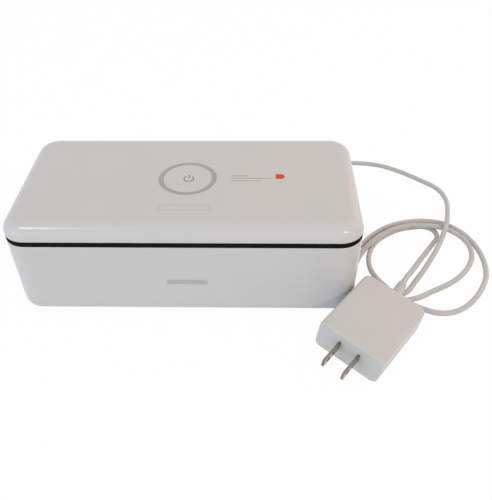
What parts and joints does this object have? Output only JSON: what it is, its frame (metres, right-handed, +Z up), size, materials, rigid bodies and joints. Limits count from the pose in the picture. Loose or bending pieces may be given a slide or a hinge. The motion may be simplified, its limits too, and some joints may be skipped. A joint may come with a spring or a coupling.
{
  "type": "uv sanitizer box for phones",
  "caption": "Tabletop ultraviolet sanitizing box with a hinged lid, a ring-lit power button, a mirrored chamber with a wire rack, and a plug-in mains adapter on a thin cord.",
  "frame": {"origin": "on the table under the middle of the box, without its cord and adapter", "axes": "+X along the box's length to the right as seen from the front, +Y to the back, +Z up"},
  "size_m": [0.3043, 0.2374, 0.0695],
  "materials": {
    "shell": "fine satin texture",
    "button": "satin, with a shallow polished dish",
    "ring": "smoked diffuser, lit from below",
    "seal": "matt closed-cell foam",
    "mirror": "vacuum-plated plastic",
    "rack_wire": "bright plated wire",
    "window": "clear quartz",
    "board": "solder-mask green",
    "component": "moulded black",
    "lamp": "lens over white package",
    "steel": "zinc plated",
    "magnet": "nickel plated",
    "foot": "matt",
    "inlet": "black moulded",
    "plug": "soft overmould",
    "contact": "nickel plated brass",
    "cord": "smooth soft jacket",
    "adapter": "fine satin texture"
  },
  "bodies": {
    "base": {"base_shell": "shell", "base_seal_frame": "seal", "base_magnet_left": "magnet", "base_magnet_right": "magnet", "mirror_tray": "mirror", "base_lamp_board": "board", "item_rack": "rack_wire", "driver_board": "board", "inductor": "component", "capacitor": "component", "driver_chip": "component", "sensor_board": "board", "power_jack": "inlet", "hinge_pin_left": "steel", "hinge_pin_right": "steel", "rubber_foot_1": "foot", "rubber_foot_2": "foot", "rubber_foot_3": "foot", "rubber_foot_4": "foot", "base_screw_1": "steel", "base_screw_2": "steel", "base_screw_3": "steel", "base_screw_4": "steel", "base_window_1": "window", "base_window_2": "window", "base_window_3": "window", "base_window_4": "window", "dc_plug": "plug", "dc_plug_barrel": "contact", "power_cord": "cord", "adapter_shell": "adapter", "adapter_blade_left": "contact", "adapter_blade_right": "contact", "adapter_boot": "plug"},
    "lid": {"lid_shell": "shell", "lid_seal_frame": "seal", "lid_magnet_left": "magnet", "lid_magnet_right": "magnet", "sensor_magnet": "magnet", "lid_liner": "mirror", "lid_lamp_board_left": "board", "lid_lamp_board_right": "board", "lid_screw_1": "steel", "lid_screw_2": "steel", "lid_screw_3": "steel", "lid_screw_4": "steel", "lid_window_1": "window", "lid_window_2": "window", "lid_window_3": "window", "lid_window_4": "window", "light_ring": "ring", "tact_switch": "component", "control_board": "board", "indicator_lamps": "lamp"},
    "button": {"power_button": "button", "switch_plunger": "component"}
  },
  "joints": [
    {"name": "lid_hinge", "type": "hinge", "parent": "base", "child": "lid", "pos_m": [0, 0.0494, 0.058], "axis": [-1, 0, 0], "range_deg": [0, 100]},
    {"name": "power_button_press", "type": "slide", "parent": "lid", "child": "button", "axis": [0, 0, -1], "range_m": [0, 0.0005], "stiffness_N_per_m": 2000}
  ]
}
